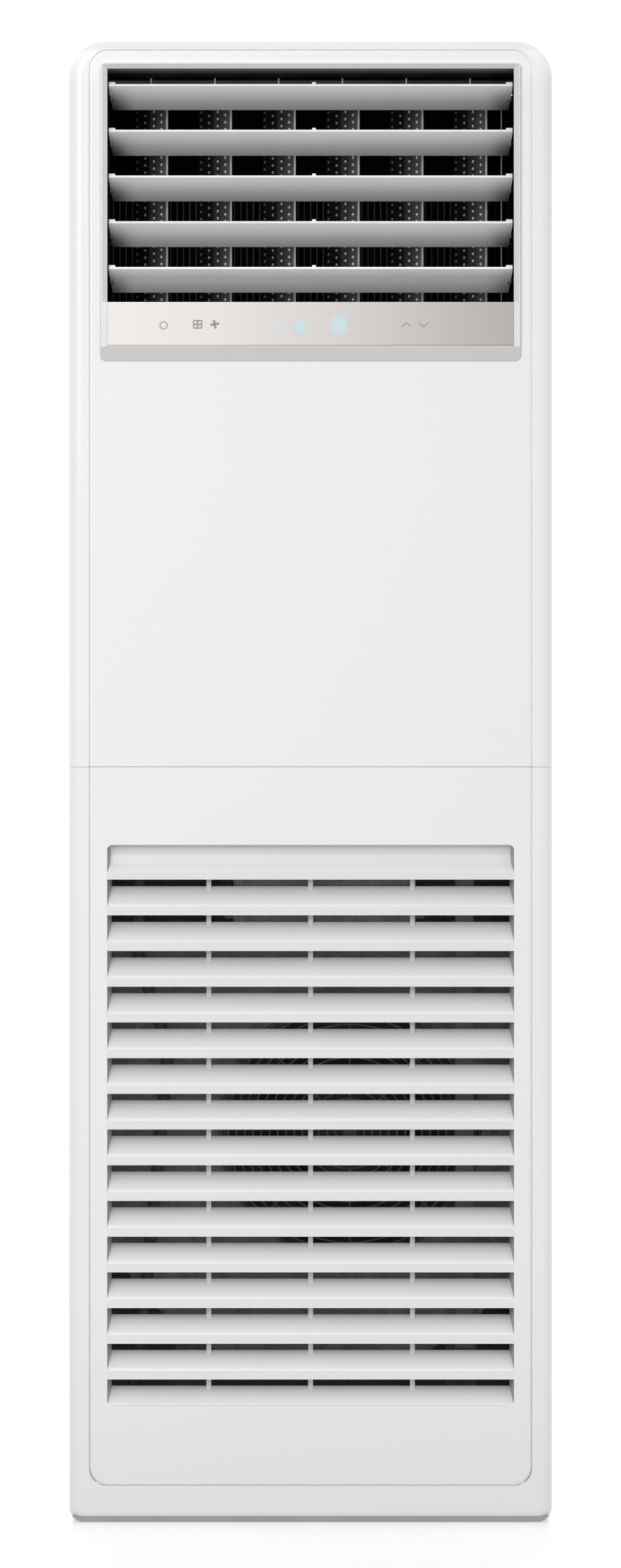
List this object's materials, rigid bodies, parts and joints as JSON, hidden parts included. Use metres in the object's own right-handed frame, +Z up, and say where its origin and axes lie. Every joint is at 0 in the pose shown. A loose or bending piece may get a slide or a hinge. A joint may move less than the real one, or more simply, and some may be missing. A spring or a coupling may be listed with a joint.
{
  "type": "floor standing air conditioner",
  "caption": "Tall white floor-standing air conditioner: louvred air outlet with vanes and touch control bar above, tilting slatted intake cover with blower and filter below.",
  "frame": {"origin": "on the floor under the middle of the cabinet", "axes": "+Z up, the louvred front faces -Y, +X to the right of someone facing the front"},
  "size_m": [0.602, 0.38, 1.847],
  "materials": {
    "shell_white": "satin white moulded plastic",
    "cabinet_white": "white powder-coated sheet steel",
    "bezel_silver": "silver champagne paint",
    "fascia_silver": "smooth pearl champagne gradient with printed symbols",
    "plinth_grey": "dark grey paint",
    "galvanised": "galvanised sheet",
    "duct_black": "black moulded",
    "louvre_silver": "light silver paint",
    "vane_black": "black with dimples",
    "wire_grey": "grey coated wire",
    "wire_black": "black wire",
    "board_green": "circuit board with parts",
    "part_grey": "grey moulded plastic",
    "filter_black": "dark filter frame",
    "net_grey": "fine open net",
    "wheel_grey": "dark pressed sheet",
    "motor_grey": "enamelled steel",
    "aluminium_fin": "bare aluminium fins",
    "copper": "bare copper tube",
    "brass_nut": "brass",
    "hose_grey": "grey flexible hose",
    "rubber_black": "black grommet",
    "screw_zinc": "zinc plated"
  },
  "bodies": {
    "cabinet": {"air_deck": "galvanised", "base_pan": "galvanised", "base_plinth": "plinth_grey", "blower_front": "galvanised", "blower_stand": "galvanised", "board_carrier": "part_grey", "box_cover": "galvanised", "cable_duct": "part_grey", "cable_gland": "rubber_black", "control_board": "board_green", "control_fascia": "fascia_silver", "drain_hose": "hose_grey", "drain_pan": "part_grey", "electrical_box": "galvanised", "evaporator_fins": "aluminium_fin", "evaporator_tubes": "copper", "fan_guard": "wire_grey", "fan_motor": "motor_grey", "flare_nuts": "brass_nut", "gas_pipe": "copper", "inlet_ring": "galvanised", "liquid_pipe": "copper", "louvre_motor": "part_grey", "lower_frame": "shell_white", "main_board": "board_green", "mid_rail": "galvanised", "motor_bracket": "galvanised", "outlet_bezel": "bezel_silver", "outlet_duct": "duct_black", "outlet_guard": "wire_black", "pipe_collar": "rubber_black", "rear_panel_lower": "cabinet_white", "rear_panel_upper": "cabinet_white", "screws": "screw_zinc", "scroll_housing": "galvanised", "side_panel_left": "cabinet_white", "side_panel_right": "cabinet_white", "terminal_block": "part_grey", "top_cover": "shell_white", "upper_frame": "shell_white", "upper_panel": "shell_white", "vane_motor": "part_grey"},
    "intake_cover": {"intake_panel": "shell_white", "intake_grille": "shell_white"},
    "air_filter": {"filter_frame": "filter_black", "filter_net": "net_grey"},
    "fan": {"fan_wheel": "wheel_grey"},
    "louvre_1": {"louvre_1": "louvre_silver"},
    "louvre_2": {"louvre_2": "louvre_silver"},
    "louvre_3": {"louvre_3": "louvre_silver"},
    "louvre_4": {"louvre_4": "louvre_silver"},
    "louvre_5": {"louvre_5": "louvre_silver"},
    "louvre_link": {"louvre_link": "duct_black"},
    "vane_1": {"vane_1": "vane_black"},
    "vane_2": {"vane_2": "vane_black"},
    "vane_3": {"vane_3": "vane_black"},
    "vane_4": {"vane_4": "vane_black"},
    "vane_5": {"vane_5": "vane_black"},
    "vane_6": {"vane_6": "vane_black"},
    "vane_link": {"vane_link": "vane_black"}
  },
  "joints": [
    {"name": "intake_cover_tilt", "type": "hinge", "parent": "cabinet", "child": "intake_cover", "pos_m": [0, -0.1825, 0.0485], "axis": [1, 0, 0], "range_deg": [0, 35]},
    {"name": "filter_lift", "type": "slide", "parent": "intake_cover", "child": "air_filter", "axis": [0, 0, 1], "range_m": [0, 0.025]},
    {"name": "fan_spin", "type": "hinge", "parent": "cabinet", "child": "fan", "pos_m": [0.049, -0.01, 0.488], "axis": [0, 1, 0], "continuous": true},
    {"name": "louvre_1_swing", "type": "hinge", "parent": "cabinet", "child": "louvre_1", "pos_m": [0, -0.154, 1.7782], "axis": [1, 0, 0], "range_deg": [-56, 50]},
    {"name": "louvre_2_swing", "type": "hinge", "parent": "cabinet", "child": "louvre_2", "pos_m": [0, -0.154, 1.7211], "axis": [1, 0, 0], "range_deg": [-56, 50]},
    {"name": "louvre_3_swing", "type": "hinge", "parent": "cabinet", "child": "louvre_3", "pos_m": [0, -0.154, 1.664], "axis": [1, 0, 0], "range_deg": [-56, 50]},
    {"name": "louvre_4_swing", "type": "hinge", "parent": "cabinet", "child": "louvre_4", "pos_m": [0, -0.154, 1.6069], "axis": [1, 0, 0], "range_deg": [-56, 50]},
    {"name": "louvre_5_swing", "type": "hinge", "parent": "cabinet", "child": "louvre_5", "pos_m": [0, -0.154, 1.5498], "axis": [1, 0, 0], "range_deg": [-56, 50]},
    {"name": "louvre_link_pivot", "type": "hinge", "parent": "louvre_3", "child": "louvre_link", "pos_m": [-0.2518, -0.124, 1.664], "axis": [1, 0, 0], "range_deg": [-50, 56]},
    {"name": "vane_1_swing", "type": "hinge", "parent": "cabinet", "child": "vane_1", "pos_m": [-0.2, -0.085, 1.66], "axis": [0, 0, 1], "range_deg": [-90, 5]},
    {"name": "vane_2_swing", "type": "hinge", "parent": "cabinet", "child": "vane_2", "pos_m": [-0.12, -0.085, 1.66], "axis": [0, 0, 1], "range_deg": [-90, 5]},
    {"name": "vane_3_swing", "type": "hinge", "parent": "cabinet", "child": "vane_3", "pos_m": [-0.04, -0.085, 1.66], "axis": [0, 0, 1], "range_deg": [-90, 5]},
    {"name": "vane_4_swing", "type": "hinge", "parent": "cabinet", "child": "vane_4", "pos_m": [0.04, -0.085, 1.66], "axis": [0, 0, 1], "range_deg": [-90, 5]},
    {"name": "vane_5_swing", "type": "hinge", "parent": "cabinet", "child": "vane_5", "pos_m": [0.12, -0.085, 1.66], "axis": [0, 0, 1], "range_deg": [-90, 5]},
    {"name": "vane_6_swing", "type": "hinge", "parent": "cabinet", "child": "vane_6", "pos_m": [0.2, -0.085, 1.66], "axis": [0, 0, 1], "range_deg": [-90, 5]},
    {"name": "vane_link_pivot", "type": "hinge", "parent": "vane_6", "child": "vane_link", "pos_m": [0.18303, -0.06803, 1.5197], "axis": [0, 0, 1], "range_deg": [-5, 90]}
  ],
  "couplings": [
    {"joint": "louvre_1_swing", "follows": "louvre_3_swing", "ratio": 1},
    {"joint": "louvre_2_swing", "follows": "louvre_3_swing", "ratio": 1},
    {"joint": "louvre_4_swing", "follows": "louvre_3_swing", "ratio": 1},
    {"joint": "louvre_5_swing", "follows": "louvre_3_swing", "ratio": 1},
    {"joint": "louvre_link_pivot", "follows": "louvre_3_swing", "ratio": -1},
    {"joint": "vane_1_swing", "follows": "vane_6_swing", "ratio": 1},
    {"joint": "vane_2_swing", "follows": "vane_6_swing", "ratio": 1},
    {"joint": "vane_3_swing", "follows": "vane_6_swing", "ratio": 1},
    {"joint": "vane_4_swing", "follows": "vane_6_swing", "ratio": 1},
    {"joint": "vane_5_swing", "follows": "vane_6_swing", "ratio": 1},
    {"joint": "vane_link_pivot", "follows": "vane_6_swing", "ratio": -1}
  ]
}
